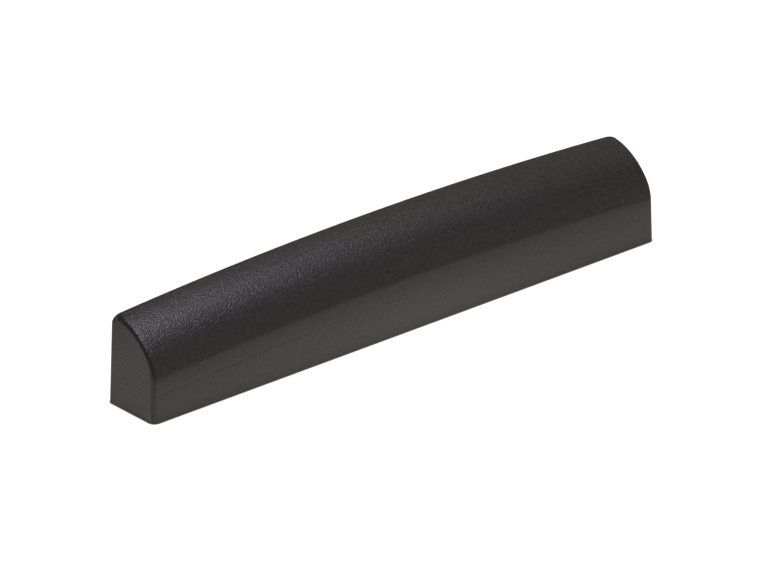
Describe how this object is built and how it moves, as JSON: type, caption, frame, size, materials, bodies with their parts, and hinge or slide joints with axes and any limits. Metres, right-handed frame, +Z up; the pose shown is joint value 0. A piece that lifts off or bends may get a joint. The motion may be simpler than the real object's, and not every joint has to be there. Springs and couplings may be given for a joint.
{
  "type": "guitar nut blank",
  "caption": "Unslotted one-piece guitar nut blank in black moulded plastic: flat base and back, quarter-round top with a lengthwise crown and softly rounded ends.",
  "frame": {"origin": "centre of the flat underside", "axes": "+X along the nut, -Y towards the rounded headstock side, +Y towards the flat fingerboard side, +Z up"},
  "size_m": [0.043, 0.0046, 0.0071],
  "materials": {
    "body": "fine moulded grain, matt black with a soft sheen"
  },
  "bodies": {
    "root": {"nut_blank": "body"}
  },
  "joints": []
}
